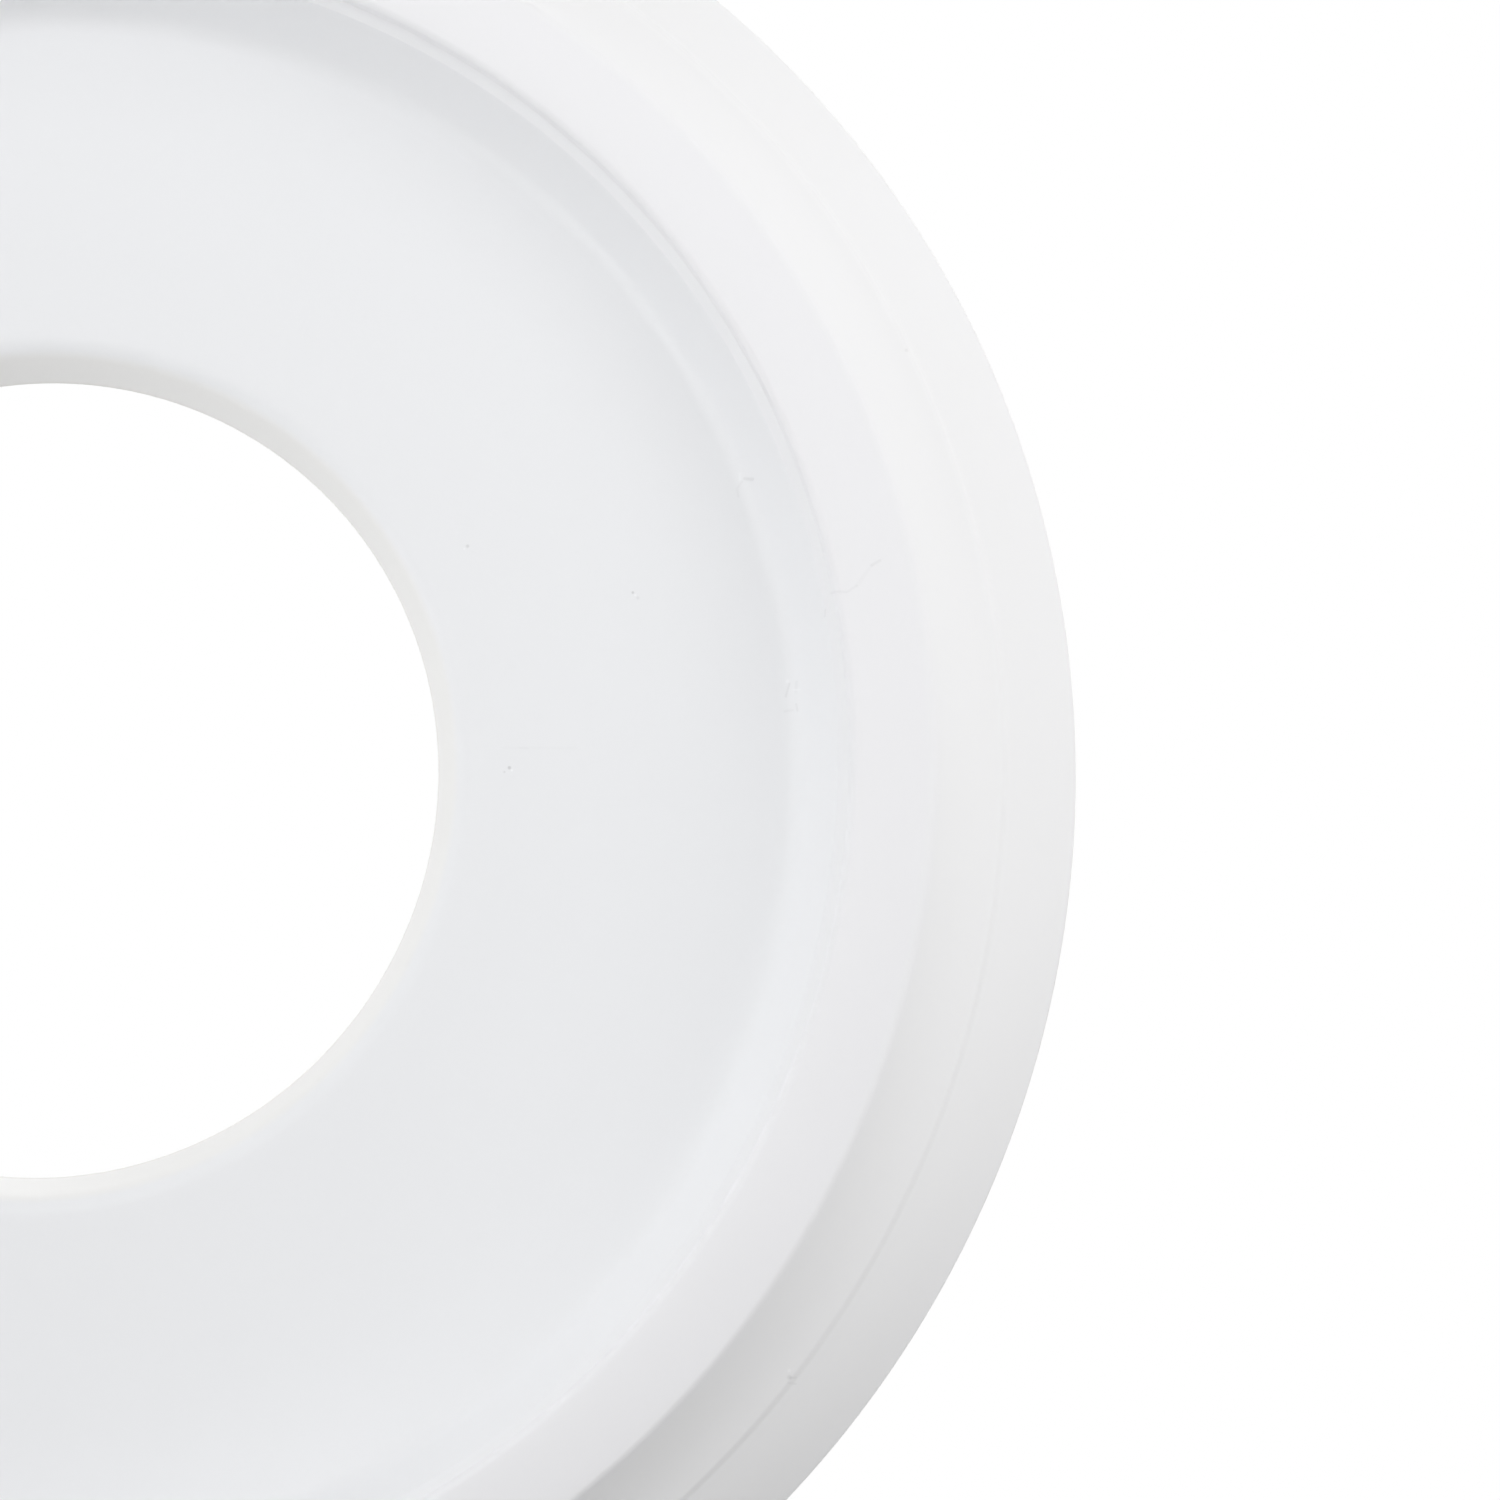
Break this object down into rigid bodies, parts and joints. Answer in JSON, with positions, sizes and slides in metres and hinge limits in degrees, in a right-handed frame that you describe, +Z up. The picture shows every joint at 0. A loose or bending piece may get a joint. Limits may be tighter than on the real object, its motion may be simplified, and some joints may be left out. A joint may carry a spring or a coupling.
{
  "type": "ceiling rose",
  "caption": "Plain round ceiling rose: a flat-backed ring with a dished field around a lamp hole, a raised ridge, a cove and a rounded rim, hung face down.",
  "frame": {"origin": "on the rose's axis in the plane of its flat back, which lies on the ceiling", "axes": "+Z up along the rose's axis, out of the flat back into the ceiling; the moulded face looks down along -Z"},
  "size_m": [0.254, 0.254, 0.019],
  "materials": {
    "white_primer": "smooth white primer with a low satin sheen over moulded foam plastic"
  },
  "bodies": {
    "root": {"ceiling_rose": "white_primer"}
  },
  "joints": []
}
